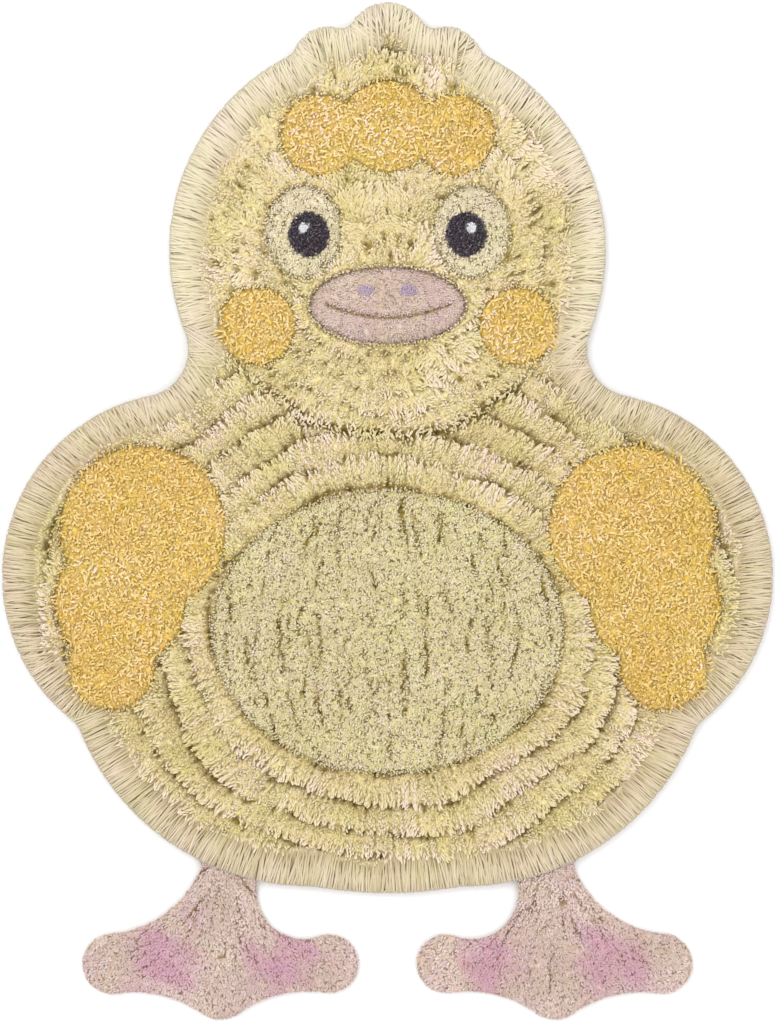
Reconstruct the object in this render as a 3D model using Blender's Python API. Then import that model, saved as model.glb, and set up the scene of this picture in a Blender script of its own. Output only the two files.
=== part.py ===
"""Tufted shag rug cut in the shape of a plain front-view duckling.

The rug lies flat, its canvas underside on z = 0. The crown points to +Y, the toes to -Y,
the pile stands up along +Z. The origin is the middle of the rug's footprint on the floor.
Lengths are in metres. In the tables below y is measured up from the toe line.
"""

import math

import bmesh
import bpy

RUG_WIDTH = 0.90            # wing tip to wing tip
RUG_LENGTH = 1.19           # toe line to crown tuft
SHAG_HEIGHT = 0.026         # canvas and long combed pile
CUT_PILE_HEIGHT = 0.0225    # belly and golden patches, cut shorter
EYE_PILE_HEIGHT = 0.021     # cream ovals round the eyes
BILL_HEIGHT = 0.019         # sheared bill
FOOT_HEIGHT = 0.016         # sheared legs and feet
SHAG_RIM = 0.008            # rounding of the long pile at its rim
FOOT_RIM = 0.005            # rounding of the feet at their rim
LONG_PILE_INSET = 0.0015    # the long pile starts this far in from the trimmed edge
POINT_STEP = 0.015          # spacing of points along an arc

# Right half of the outline as discs walked clockwise from the crown to the rump.
# columns: disc, x, y, radius, radius of the arc that joins it to the next disc
# (a positive join is a hollow corner, a negative one a long arc round both discs)
OUTLINE = [
    ("tuft_middle", 0.000, 1.142, 0.048, 0.014),
    ("tuft_side", 0.070, 1.122, 0.040, 0.018),
    ("head", 0.000, 0.900, 0.255, 0.055),
    ("wing", 0.235, 0.520, 0.215, 0.022),
    ("flank", 0.090, 0.448, 0.290, 0.014),
    ("ankle_outside", 0.190, 0.152, 0.038, 0.125),
    ("outer_toe", 0.322, 0.066, 0.036, 0.140),
    ("middle_toe", 0.196, 0.038, 0.038, 0.140),
    ("inner_toe", 0.068, 0.066, 0.035, 0.054),
    ("ankle_inside", 0.190, 0.152, 0.038, 0.014),
    ("rump", 0.000, 0.620, 0.470, None),
]

# The long pile covers head, wings and body. It stops above the ankles.
LONG_PILE = OUTLINE[:4] + [
    ("flank", 0.090, 0.448, 0.290, 0.200),
    ("rump", 0.000, 0.620, 0.470, None),
]

# Patches of shorter pile, as discs. A whole patch is walked once round and copied
# to the other side; a half patch crosses the middle of the rug.
# columns: disc, x, y, radius, joining radius
CAP = [
    ("cap_middle", 0.000, 1.045, 0.055, 0.012),
    ("cap_side", 0.078, 1.035, 0.048, 0.012),
    ("cap_middle", 0.000, 1.045, 0.055, None),
]
WING_PATCH = [
    ("shoulder", 0.285, 0.575, 0.098, 0.020),
    ("feather_long", 0.312, 0.490, 0.078, 0.014),
    ("feather_tip", 0.322, 0.415, 0.052, 0.014),
    ("feather_long", 0.312, 0.490, 0.078, 0.020),
]

# Round and oval patches.
# columns: patch, x, y, half width, half height, pile height, on both sides
OVALS = [
    ("belly", 0.000, 0.455, 0.205, 0.165, CUT_PILE_HEIGHT, False),
    ("golden_cheek", 0.152, 0.812, 0.046, 0.046, CUT_PILE_HEIGHT, True),
    ("eye_patch", 0.098, 0.922, 0.045, 0.054, EYE_PILE_HEIGHT, True),
    ("bill", 0.000, 0.836, 0.092, 0.046, BILL_HEIGHT, False),
]
OVAL_STEPS = 48

STRAW = (0.71, 0.62, 0.40, 1.0)


def joining_centre(a, b, join):
    """Centre of the arc of radius |join| that touches discs a and b, each (x, y, r)."""
    side = 1.0 if join > 0 else -1.0
    reach_a = abs(join) + side * a[2]
    reach_b = abs(join) + side * b[2]
    apart = math.hypot(b[0] - a[0], b[1] - a[1])
    along = (reach_a ** 2 - reach_b ** 2 + apart ** 2) / (2.0 * apart)
    off = side * math.sqrt(reach_a ** 2 - along ** 2)
    ux, uy = (b[0] - a[0]) / apart, (b[1] - a[1]) / apart
    return a[0] + ux * along - uy * off, a[1] + uy * along + ux * off


def arc_points(x, y, r, start, end, clockwise):
    """Points along an arc, both ends included."""
    sweep = (start - end) % (2.0 * math.pi) if clockwise else (end - start) % (2.0 * math.pi)
    steps = max(2, math.ceil(sweep * r / POINT_STEP))
    turn = -sweep if clockwise else sweep
    return [
        (x + r * math.cos(start + turn * k / steps), y + r * math.sin(start + turn * k / steps))
        for k in range(steps + 1)
    ]


def walk_discs(rows, closed, grow=0.0):
    """Outline round a row of discs, clockwise, with an arc at each join.

    An open walk starts at the top of the first disc and ends at the bottom of the last.
    grow moves the whole outline outwards by that much.
    """
    discs = [(row[1], row[2], row[3] + grow) for row in rows]
    joins = [None if row[4] is None else row[4] - grow for row in rows]
    count = len(discs)
    arrive = [math.pi / 2.0] * count
    leave = [-math.pi / 2.0] * count
    centres = {}
    for k in range(count if closed else count - 1):
        a, b = discs[k], discs[(k + 1) % count]
        cx, cy = joining_centre(a, b, joins[k])
        side = 1.0 if joins[k] > 0 else -1.0
        leave[k] = math.atan2(side * (cy - a[1]), side * (cx - a[0]))
        arrive[(k + 1) % count] = math.atan2(side * (cy - b[1]), side * (cx - b[0]))
        centres[k] = (cx, cy)
    points = []
    for k, (x, y, r) in enumerate(discs):
        points += arc_points(x, y, r, arrive[k], leave[k], True)
        if k in centres:
            cx, cy = centres[k]
            nx, ny, nr = discs[(k + 1) % count]
            start = math.atan2(points[-1][1] - cy, points[-1][0] - cx)
            end_x = nx + nr * math.cos(arrive[(k + 1) % count])
            end_y = ny + nr * math.sin(arrive[(k + 1) % count])
            end = math.atan2(end_y - cy, end_x - cx)
            points += arc_points(cx, cy, abs(joins[k]), start, end, joins[k] < 0)[1:-1]
    return points


def both_halves(half):
    """A right half that runs down from x = 0 to x = 0, with its mirror image."""
    return half + [(-x, y) for x, y in reversed(half[1:-1])]


def ellipse_points(x, y, half_width, half_height):
    return [
        (x + half_width * math.cos(2 * math.pi * k / OVAL_STEPS),
         y + half_height * math.sin(2 * math.pi * k / OVAL_STEPS))
        for k in range(OVAL_STEPS)
    ]


def flat_block(name, points, low, high, collection, material=None):
    """A flat outline filled and extruded between two heights, as a welded mesh."""
    curve = bpy.data.curves.new(name + "_outline", "CURVE")
    curve.dimensions = "2D"
    curve.fill_mode = "BOTH"
    curve.extrude = (high - low) / 2.0
    spline = curve.splines.new("POLY")
    spline.points.add(len(points) - 1)
    for point, (x, y) in zip(spline.points, points):
        point.co = (x, y - RUG_LENGTH / 2.0, 0.0, 1.0)
    spline.use_cyclic_u = True
    drawn = bpy.data.objects.new(name + "_outline", curve)
    drawn.location = (0.0, 0.0, (low + high) / 2.0)
    bpy.context.scene.collection.objects.link(drawn)
    bpy.context.view_layer.update()
    seen = drawn.evaluated_get(bpy.context.evaluated_depsgraph_get())
    mesh = bpy.data.meshes.new_from_object(seen)
    mesh.name = name
    welded = bmesh.new()
    welded.from_mesh(mesh)
    bmesh.ops.remove_doubles(welded, verts=welded.verts, dist=0.00005)
    bmesh.ops.recalc_face_normals(welded, faces=welded.faces)
    welded.to_mesh(mesh)
    welded.free()
    block = bpy.data.objects.new(name, mesh)
    block.matrix_world = drawn.matrix_world.copy()
    collection.objects.link(block)
    bpy.data.objects.remove(drawn, do_unlink=True)
    bpy.data.curves.remove(curve)
    mesh.materials.clear()
    if material is not None:
        mesh.materials.append(material)
    return block


def round_top_rim(block, radius, segments):
    """Rounds the edge where the block's top meets its trimmed side."""
    mesh = block.data
    work = bmesh.new()
    work.from_mesh(mesh)
    top = max(v.co.z for v in work.verts)
    # one face across the whole top, so that the rim can move in without crossing it
    cover = [f for f in work.faces if all(abs(v.co.z - top) < 1e-5 for v in f.verts)]
    bmesh.ops.dissolve_faces(work, faces=cover)
    rim = [
        e for e in work.edges
        if len(e.link_faces) == 2
        and all(abs(v.co.z - top) < 1e-5 for v in e.verts)
        and min(abs(f.normal.z) for f in e.link_faces) < 0.5
    ]
    bmesh.ops.bevel(
        work, geom=rim, offset=radius, offset_type="OFFSET", segments=segments,
        profile=0.5, affect="EDGES", clamp_overlap=False,
    )
    bmesh.ops.remove_doubles(work, verts=work.verts, dist=0.00005)
    bmesh.ops.triangulate(work, faces=[f for f in work.faces if len(f.verts) > 4])
    work.to_mesh(mesh)
    work.free()


def new_collection(name):
    made = bpy.data.collections.new(name)
    bpy.context.scene.collection.children.link(made)
    return made


def boolean(block, tool, operation):
    step = block.modifiers.new(tool.name, "BOOLEAN")
    step.operation = operation
    step.solver = "EXACT"
    step.object = tool


for old in list(bpy.data.objects):
    bpy.data.objects.remove(old, do_unlink=True)

rug_parts = new_collection("duckling_rug")
cutters = new_collection("duckling_rug_cutters")

straw = bpy.data.materials.new("rug_pile")
straw.use_nodes = True
shader = straw.node_tree.nodes["Principled BSDF"]
shader.inputs["Base Color"].default_value = STRAW
shader.inputs["Roughness"].default_value = 0.92
shader.inputs["Metallic"].default_value = 0.0

# The whole rug at the height of its sheared feet, then the long pile on top of it.
rug = flat_block("rug", both_halves(walk_discs(OUTLINE, False)), 0.0, FOOT_HEIGHT, rug_parts, straw)
round_top_rim(rug, FOOT_RIM, 2)

long_pile = flat_block(
    "long_pile", both_halves(walk_discs(LONG_PILE, False, -LONG_PILE_INSET)),
    0.004, SHAG_HEIGHT, cutters,
)
round_top_rim(long_pile, SHAG_RIM, 3)
boolean(rug, long_pile, "UNION")

# Shorter pile: each patch is taken down to its own height.
clear = SHAG_HEIGHT + 0.010
tools = [
    flat_block("cap_cut", both_halves(walk_discs(CAP, False)), CUT_PILE_HEIGHT, clear, cutters)
]
for side in (1.0, -1.0):
    loop = [(side * x, y) for x, y in walk_discs(WING_PATCH, True)]
    tools.append(flat_block(
        "wing_cut_right" if side > 0 else "wing_cut_left", loop, CUT_PILE_HEIGHT, clear, cutters))
for patch, x, y, half_width, half_height, height, both in OVALS:
    for side, label in ((1.0, "_right"), (-1.0, "_left")) if both else ((1.0, ""),):
        tools.append(flat_block(
            patch + "_cut" + label, ellipse_points(side * x, y, half_width, half_height),
            height, clear, cutters))
for tool in tools:
    boolean(rug, tool, "DIFFERENCE")

for tool in [long_pile] + tools:
    tool.hide_render = True
    tool.display_type = "WIRE"

rug.data.shade_smooth()
rug.data.set_sharp_from_angle(angle=math.radians(35.0))
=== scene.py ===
import math

import bmesh
import bpy
import numpy as np
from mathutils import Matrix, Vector, kdtree
from mathutils.geometry import tessellate_polygon


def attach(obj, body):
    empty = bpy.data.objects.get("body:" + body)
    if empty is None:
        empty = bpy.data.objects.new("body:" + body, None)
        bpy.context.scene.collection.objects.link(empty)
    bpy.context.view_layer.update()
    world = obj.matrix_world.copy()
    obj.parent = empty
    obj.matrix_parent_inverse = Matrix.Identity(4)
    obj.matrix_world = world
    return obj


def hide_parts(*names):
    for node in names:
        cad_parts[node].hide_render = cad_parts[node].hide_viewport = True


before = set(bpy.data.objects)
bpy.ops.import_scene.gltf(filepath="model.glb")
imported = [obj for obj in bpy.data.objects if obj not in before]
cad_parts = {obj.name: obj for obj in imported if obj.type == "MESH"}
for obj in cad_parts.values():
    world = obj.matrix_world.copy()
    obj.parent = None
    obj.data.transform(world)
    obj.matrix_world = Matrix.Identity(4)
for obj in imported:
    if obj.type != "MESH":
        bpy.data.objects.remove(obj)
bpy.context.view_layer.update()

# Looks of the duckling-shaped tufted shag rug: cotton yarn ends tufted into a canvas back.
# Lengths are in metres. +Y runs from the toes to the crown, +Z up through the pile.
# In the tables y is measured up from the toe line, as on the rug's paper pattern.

LENGTH = 1.19
SHAG_TOP = 0.026
BORDER = 0.043               # width of the combed border
CANVAS = 0.0020              # thickness of the canvas back
BED = 0.0034                 # top of the stitch bed that the yarn stands in
RIDGE = 0.034                # from one ridge of long pile to the next
rng = np.random.default_rng(20417)

# columns: disc, x, y, radius, radius of the arc that joins it to the next disc
OUTLINE = [
    ("tuft_middle", 0.000, 1.142, 0.048, 0.014),
    ("tuft_side", 0.070, 1.122, 0.040, 0.018),
    ("head", 0.000, 0.900, 0.255, 0.055),
    ("wing", 0.235, 0.520, 0.215, 0.022),
    ("flank", 0.090, 0.448, 0.290, 0.014),
    ("ankle_outside", 0.190, 0.152, 0.038, 0.125),
    ("outer_toe", 0.322, 0.066, 0.036, 0.140),
    ("middle_toe", 0.196, 0.038, 0.038, 0.140),
    ("inner_toe", 0.068, 0.066, 0.035, 0.054),
    ("ankle_inside", 0.190, 0.152, 0.038, 0.014),
    ("rump", 0.000, 0.620, 0.470, None),
]
LONG_PILE = OUTLINE[:4] + [
    ("flank", 0.090, 0.448, 0.290, 0.200),
    ("rump", 0.000, 0.620, 0.470, None),
]
# columns: disc, |x|, y, radius
GOLD = [
    ("cap_middle", 0.000, 1.045, 0.055),
    ("cap_side", 0.078, 1.035, 0.048),
    ("shoulder", 0.285, 0.575, 0.098),
    ("feather_long", 0.312, 0.490, 0.078),
    ("feather_tip", 0.322, 0.415, 0.052),
    ("golden_cheek", 0.152, 0.812, 0.046),
]
# columns: |x|, y, half width, half height
BELLY = (0.000, 0.455, 0.205, 0.165)
EYE_PATCH = (0.098, 0.922, 0.045, 0.054)
EYE = (0.092, 0.919, 0.024, 0.0265)
GLINT = (0.098, 0.927, 0.0052, 0.0060)
BILL = (0.000, 0.836, 0.092, 0.046)
NOSTRIL = (0.025, 0.854, 0.0105, 0.0062)


# ---------------------------------------------------------------- outline and distance fields

def joining_centre(a, b, join):
    side = 1.0 if join > 0 else -1.0
    reach_a, reach_b = abs(join) + side * a[2], abs(join) + side * b[2]
    apart = math.hypot(b[0] - a[0], b[1] - a[1])
    along = (reach_a ** 2 - reach_b ** 2 + apart ** 2) / (2.0 * apart)
    off = side * math.sqrt(reach_a ** 2 - along ** 2)
    ux, uy = (b[0] - a[0]) / apart, (b[1] - a[1]) / apart
    return a[0] + ux * along - uy * off, a[1] + uy * along + ux * off


def arc_points(x, y, r, start, end, clockwise, step):
    sweep = (start - end) % (2 * math.pi) if clockwise else (end - start) % (2 * math.pi)
    steps = max(2, math.ceil(sweep * r / step))
    turn = -sweep if clockwise else sweep
    return [(x + r * math.cos(start + turn * k / steps), y + r * math.sin(start + turn * k / steps))
            for k in range(steps + 1)]


def outline_points(rows, step, grow=0.0):
    """The whole outline round a row of discs, clockwise from the top, in world x, y."""
    discs = [(row[1], row[2], row[3] + grow) for row in rows]
    joins = [None if row[4] is None else row[4] - grow for row in rows]
    count = len(discs)
    arrive, leave, centres = [math.pi / 2] * count, [-math.pi / 2] * count, {}
    for k in range(count - 1):
        a, b = discs[k], discs[k + 1]
        cx, cy = joining_centre(a, b, joins[k])
        side = 1.0 if joins[k] > 0 else -1.0
        leave[k] = math.atan2(side * (cy - a[1]), side * (cx - a[0]))
        arrive[k + 1] = math.atan2(side * (cy - b[1]), side * (cx - b[0]))
        centres[k] = (cx, cy)
    half = []
    for k, (x, y, r) in enumerate(discs):
        half += arc_points(x, y, r, arrive[k], leave[k], True, step)
        if k in centres:
            cx, cy = centres[k]
            nx, ny, nr = discs[k + 1]
            start = math.atan2(half[-1][1] - cy, half[-1][0] - cx)
            end = math.atan2(ny + nr * math.sin(arrive[k + 1]) - cy, nx + nr * math.cos(arrive[k + 1]) - cx)
            half += arc_points(cx, cy, abs(joins[k]), start, end, joins[k] < 0, step)[1:-1]
    whole = half + [(-x, y) for x, y in reversed(half[1:-1])]
    return np.array([(x, y - LENGTH / 2) for x, y in whole])


GRID = 0.003
GX = np.arange(-0.48, 0.48 + GRID / 2, GRID)
GY = np.arange(-0.63, 0.63 + GRID / 2, GRID)


class Inside:
    """Distance in from an outline, positive inside, on a grid read by bilinear steps."""

    def __init__(self, rows):
        fine = outline_points(rows, 0.0012)
        tree = kdtree.KDTree(len(fine))
        for k, (x, y) in enumerate(fine):
            tree.insert((x, y, 0.0), k)
        tree.balance()
        coarse = outline_points(rows, 0.004)
        gx, gy = np.meshgrid(GX, GY)
        inside = np.zeros(gx.shape, bool)
        x0, y0 = coarse[:, 0], coarse[:, 1]
        x1, y1 = np.roll(x0, -1), np.roll(y0, -1)
        for a, b, c, d in zip(x0, y0, x1, y1):
            if b == d:
                continue
            rows_hit = (GY > min(b, d)) & (GY <= max(b, d))
            if rows_hit.any():
                yy = GY[rows_hit]
                cross = a + (yy - b) * (c - a) / (d - b)
                inside[rows_hit] ^= GX[None, :] < cross[:, None]
        far = np.array([tree.find((x, y, 0.0))[2] for x, y in zip(gx.ravel(), gy.ravel())])
        self.field = np.where(inside, 1.0, -1.0) * far.reshape(gx.shape)
        gy_, gx_ = np.gradient(self.field, GRID)
        size = np.hypot(gx_, gy_) + 1e-9
        self.out_x, self.out_y = -gx_ / size, -gy_ / size

    def read(self, table, p):
        fx = np.clip((p[:, 0] - GX[0]) / GRID, 0, len(GX) - 1.001)
        fy = np.clip((p[:, 1] - GY[0]) / GRID, 0, len(GY) - 1.001)
        ix, iy = fx.astype(int), fy.astype(int)
        tx, ty = fx - ix, fy - iy
        return ((table[iy, ix] * (1 - tx) + table[iy, ix + 1] * tx) * (1 - ty)
                + (table[iy + 1, ix] * (1 - tx) + table[iy + 1, ix + 1] * tx) * ty)

    def depth(self, p):
        return self.read(self.field, p)

    def outwards(self, p):
        n = np.stack([self.read(self.out_x, p), self.read(self.out_y, p)], 1)
        return n / (np.linalg.norm(n, axis=1, keepdims=True) + 1e-9)


whole_rug = Inside(OUTLINE)
long_rug = Inside(LONG_PILE)


def pattern(p):
    """World x, y to the pattern's |x| and y above the toe line."""
    return np.abs(p[:, 0]), p[:, 1] + LENGTH / 2


def in_ellipse(p, shape):
    """Rough distance in from an ellipse's edge, positive inside."""
    x, y = pattern(p)
    cx, cy, a, b = shape
    dx, dy = (x - cx), (y - cy)
    q = np.sqrt((dx / a) ** 2 + (dy / b) ** 2) + 1e-9
    slope = np.sqrt((dx / a ** 2) ** 2 + (dy / b ** 2) ** 2) / q + 1e-9
    return np.where(q > 0.25, (1 - q) / slope, min(a, b) * (1 - q))


def in_gold(p):
    x, y = pattern(p)
    return np.max([r - np.hypot(x - cx, y - cy) for _, cx, cy, r in GOLD], axis=0)


def away_from(p, centre_y, stretch=1.0):
    d = np.stack([p[:, 0], (p[:, 1] + LENGTH / 2 - centre_y) * stretch], 1)
    return d / (np.linalg.norm(d, axis=1, keepdims=True) + 1e-9)


# ---------------------------------------------------------------- smooth random fields

def waves(seed, size, count=10):
    """A smooth field of about that feature size, near -1 to 1."""
    own = np.random.default_rng(seed)
    ang = own.uniform(0, 2 * math.pi, count)
    k = 2 * math.pi / size * own.uniform(0.55, 1.45, count)
    kx, ky, phase = k * np.cos(ang), k * np.sin(ang), own.uniform(0, 2 * math.pi, count)

    def field(p):
        return np.sin(p[:, :1] * kx + p[:, 1:2] * ky + phase).sum(1) / math.sqrt(count / 2) / 1.6
    return field


def lattice(spacing, jitter, seed, low=(-0.46, -0.61), high=(0.46, 0.61)):
    """Points a spacing apart in staggered rows, each moved a little."""
    own = np.random.default_rng(seed)
    rise = spacing * math.sqrt(3) / 2
    ys = np.arange(low[1], high[1], rise)
    xs = np.arange(low[0], high[0], spacing)
    x, y = np.meshgrid(xs, ys)
    x = x + (np.arange(len(ys)) % 2)[:, None] * spacing / 2
    p = np.stack([x.ravel(), y.ravel()], 1)
    return p + own.uniform(-jitter, jitter, p.shape) * spacing


def nearest(points, centres):
    """Index of the nearest centre to each point."""
    tree = kdtree.KDTree(len(centres))
    for k, c in enumerate(centres):
        tree.insert((c[0], c[1], 0.0), k)
    tree.balance()
    return np.array([tree.find((x, y, 0.0))[1] for x, y in points])


def unit(v):
    return v / (np.linalg.norm(v, axis=1, keepdims=True) + 1e-12)


def turned(v, angle):
    c, s = np.cos(angle), np.sin(angle)
    return np.stack([v[:, 0] * c - v[:, 1] * s, v[:, 0] * s + v[:, 1] * c], 1)


# ---------------------------------------------------------------- which pile stands where

ragged_long, ragged_short = waves(28, 0.11), waves(29, 0.026)


def from_rim(p):
    """Distance in from the long pile's rim, pushed in and out so that the border's inner side is ragged."""
    return long_rug.depth(p) + 0.0034 * ragged_long(p) + 0.0026 * ragged_short(p)


def zones(p):
    """Which pile stands at each point, as a dict of masks."""
    whole, long, inner = whole_rug.depth(p), long_rug.depth(p), from_rim(p)
    bill, belly = in_ellipse(p, BILL), in_ellipse(p, BELLY)
    patch, eye, glint = in_ellipse(p, EYE_PATCH), in_ellipse(p, EYE), in_ellipse(p, GLINT)
    gold, nostril = in_gold(p), in_ellipse(p, NOSTRIL)
    z = {}
    z["glint"] = glint > 0
    z["eye"] = (eye > 0) & ~z["glint"]
    z["cream"] = (patch > 0) & ~z["eye"] & ~z["glint"]
    z["nostril"] = nostril > 0
    z["bill"] = (bill > 0) & ~z["nostril"]
    face = (patch > 0) | (bill > 0)
    z["belly"] = (belly > 0) & ~face
    z["gold"] = (gold > 0) & ~face & (belly <= 0)
    free = ~face & ~z["gold"] & (belly <= 0)
    z["border"] = (long > 0.0015) & (inner <= BORDER) & free
    z["border_roots"] = (long > 0.0015) & (inner <= BORDER + 0.0060) & ~face & (gold < 0.0055) & (belly <= 0.0)
    z["shag"] = (inner > BORDER - 0.003) & free
    z["feet"] = (long < 0.003) & (whole > 0.0010) & (whole - long > 0.0020)
    return z


def short_pile(p):
    """Distance in from the edge of any patch of shorter pile, negative out in the long pile."""
    return np.max([in_ellipse(p, BILL), in_ellipse(p, EYE_PATCH), in_gold(p), in_ellipse(p, BELLY)], axis=0)


def keep(p, name):
    return p[zones(p)[name]]


def step(t, low, high):
    t = np.clip((t - low) / (high - low), 0, 1)
    return t * t * (3 - 2 * t)


HEAD = (0.0, 0.900, 0.215)   # the head's outer ring, that overhangs the breast
HEAD_START = 0.840           # the smallest ring starts here, under the bill
row_drift, row_sway, row_strength = waves(23, 0.17), waves(27, 0.055), waves(24, 0.075)
head_drift = waves(33, 0.12)


def rows_of_pile(p):
    """Rings of long pile. Phase 0 is the parting below a row, 1 the tips that overhang the next."""
    up = p[:, 1] + LENGTH / 2
    wander = 0.0055 * row_drift(p) + 0.0026 * row_sway(p)
    # nested rings whose centres move from the bill to the middle of the head as they grow
    shift, dy = (HEAD[1] - HEAD_START) / HEAD[2], up - HEAD_START
    ring = (-shift * dy + np.sqrt((shift * dy) ** 2 + (1 - shift ** 2) * (p[:, 0] ** 2 + dy ** 2))) / (1 - shift ** 2)
    head_phase = (ring - HEAD[2] + 0.75 * wander + 0.0065 * head_drift(p) * np.clip((HEAD[2] - ring) / 0.04, 0, 1)) / RIDGE
    body_phase = (-in_ellipse(p, BELLY) + wander) / RIDGE
    on_head = head_phase < 0
    phase = np.where(on_head, head_phase, body_phase)
    way = np.where(on_head[:, None], away_from(p, HEAD_START), away_from(p, BELLY[1], 1.25))
    near_chin = step(ring, HEAD[2] - 0.045, HEAD[2] - 0.020)
    strength = np.clip(0.76 + 0.72 * row_strength(p), 0.10, 1.15) * np.where(on_head, 0.40 + 0.30 * near_chin, 1.0)
    row = np.floor(phase)
    return phase - row, way, strength, on_head, row


def chin(p):
    """The shadow line under the head, 0 to 1."""
    up = p[:, 1] + LENGTH / 2 - HEAD[1]
    d = np.hypot(p[:, 0], up) - HEAD[2] + 0.004 * row_sway(p)
    below = step(-up / (np.hypot(p[:, 0], up) + 1e-6), 0.45, 0.85)
    return np.exp(-((d - 0.002) / 0.0068) ** 2) * below


def dice(a, b, salt):
    """An even random number, 0 to 1, that belongs to a pair of whole numbers."""
    v = np.sin(a * 12.9898 + b * 78.233 + salt * 37.719) * 43758.5453
    return v - np.floor(v)


edge_line = outline_points(LONG_PILE, 0.0015)
edge_run = np.concatenate([[0.0], np.cumsum(np.hypot(*np.diff(edge_line, axis=0).T))])
edge_tree = kdtree.KDTree(len(edge_line))
for k, (x, y) in enumerate(edge_line):
    edge_tree.insert((x, y, 0.0), k)
edge_tree.balance()
BUNDLE = 0.0112              # width of a bundle of ends in the combed long pile


def comb(p):
    """Bundles of the long pile: across the lie, along it, and how near the parting between two bundles."""
    long = long_rug.depth(p)
    border = from_rim(p) <= BORDER
    phase, way, strength, on_head, row = rows_of_pile(p)
    angle = np.arctan2(p[:, 0], p[:, 1] + LENGTH / 2 - np.where(on_head, HEAD_START, BELLY[1]))
    reach = np.where(on_head, HEAD[2], 0.185) + (row + 0.5) * RIDGE
    run = angle * np.maximum(reach, 0.03)
    row = row + np.where(on_head, 50, 0)
    if border.any():
        hit = np.array([edge_tree.find((x, y, 0.0))[1] for x, y in p[border]])
        line = edge_line[hit]
        way[border] = long_rug.outwards(p[border])
        across = np.stack([way[border][:, 1], -way[border][:, 0]], 1)
        run[border] = edge_run[hit] + ((p[border] - line) * across).sum(1)
        row[border] = 99
    lie = np.where(border, BORDER - long, phase * RIDGE)
    s = run + 0.0026 * np.sin(run * 2 * math.pi / 0.041 + row * 1.7) + 0.0016 * np.sin(run * 2 * math.pi / 0.023 + row * 4.1)
    index = np.floor(s / BUNDLE)
    off = s - (index + 0.5) * BUNDLE
    side = np.stack([way[:, 1], -way[:, 0]], 1)
    parting = np.abs(off) / (BUNDLE / 2)
    # deep pockets open here and there at the foot of a row
    line = index + (off > 0)
    pocket = (dice(line, row, 5) < np.where(on_head, 0.55, 0.40)) & ~border
    late = 0.07 + np.where(on_head, 0.80 * (dice(line, row, 6) - 0.5), 0.0)
    lateness = (phase - late + 0.5) % 1.0 - 0.5
    hole = np.exp(-((1 - parting) * BUNDLE / 2 / 0.0038) ** 2) * np.exp(-(lateness * RIDGE / 0.0050) ** 2) * pocket
    return {"way": way, "side": side, "phase": phase, "strength": strength, "on_head": on_head, "row": row,
            "run": run, "lie": lie, "index": index, "off": off, "parting": parting, "hole": hole, "border": border}


def belly_partings(p):
    """Uneven upright partings across the belly: a sideways push and how far the pile sinks."""
    own = np.random.default_rng(31)
    shift, sink = np.zeros((len(p), 2)), np.zeros(len(p))
    y = p[:, 1] + LENGTH / 2
    for x0 in np.linspace(-0.195, 0.195, 31):
        x0 = x0 + own.uniform(-0.008, 0.008)
        a, b, c = own.uniform(-0.005, 0.005), own.uniform(0.05, 0.14), own.uniform(0, 6.28)
        d, e, f = own.uniform(-0.002, 0.002), own.uniform(0.012, 0.03), own.uniform(0, 6.28)
        line = x0 * (1 - 0.25 * ((y - 0.455) / 0.165) ** 2) + a * np.sin(y * 2 * math.pi / b + c) + d * np.sin(y * 2 * math.pi / e + f)
        for _ in range(8):
            middle, half = 0.455 + own.uniform(-0.15, 0.15), own.choice([0.004, 0.006, 0.010, 0.020])
            fade = np.clip((half - np.abs(y - middle)) / 0.003, 0, 1) * own.uniform(0.45, 1.0)
            off = p[:, 0] - line
            near = np.exp(-(off / 0.0024) ** 2) * fade
            shift[:, 0] += np.sign(off) * near * 0.0019
            sink += near * 0.0038
    return shift, np.minimum(sink, 0.0036)


def bill_lines(p):
    """The smile line across the bill, and the sunk rim round it."""
    x, y = p[:, 0], p[:, 1] + LENGTH / 2
    smile = 0.823 + 0.016 * (x / 0.075) ** 2
    d = y - smile
    near = np.exp(-(d / 0.0030) ** 2) * np.clip((0.080 - np.abs(x)) / 0.01, 0, 1)
    rim = np.exp(-(in_ellipse(p, BILL) / 0.0035) ** 2)
    shift = np.stack([np.zeros(len(p)), np.sign(d) * near * 0.0018], 1)
    return shift, near * 0.0040 + rim * 0.0028


def foot_frame(p):
    """Polar frame of a foot: distance down from the ankle and angle across the web."""
    x, y = pattern(p)
    dx, dy = x - 0.190, 0.190 - y
    return np.hypot(dx, dy), np.arctan2(dx, dy), np.where(p[:, 0] < 0, -1.0, 1.0)


def foot_creases(p):
    """Fine creases that fan out from the ankle to the web."""
    own = np.random.default_rng(102)
    r, a, side = foot_frame(p)
    shift, sink = np.zeros((len(p), 2)), np.zeros(len(p))
    across = np.stack([side * np.cos(a), np.sin(a)], 1)
    for a0 in np.linspace(-1.25, 1.25, 19):
        for foot in (-1, 1) * 3:
            a1 = a0 + own.uniform(-0.09, 0.09)
            first = own.uniform(0.01, 0.14)
            last = first + own.uniform(0.012, 0.045)
            sway = own.uniform(-0.05, 0.05) * np.sin(r * 2 * math.pi / own.uniform(0.06, 0.12) + own.uniform(0, 6))
            d = (a - a1 - sway) * r
            near = np.exp(-(d / 0.0020) ** 2) * np.clip((r - first) / 0.006, 0, 1) * np.clip((last - r) / 0.006, 0, 1)
            near = near * (side == foot) * own.uniform(0.4, 1.0)
            shift += across * (np.sign(d) * near * 0.0012)[:, None]
            sink += near * 0.0030
    return shift, np.minimum(sink, 0.0034)


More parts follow.
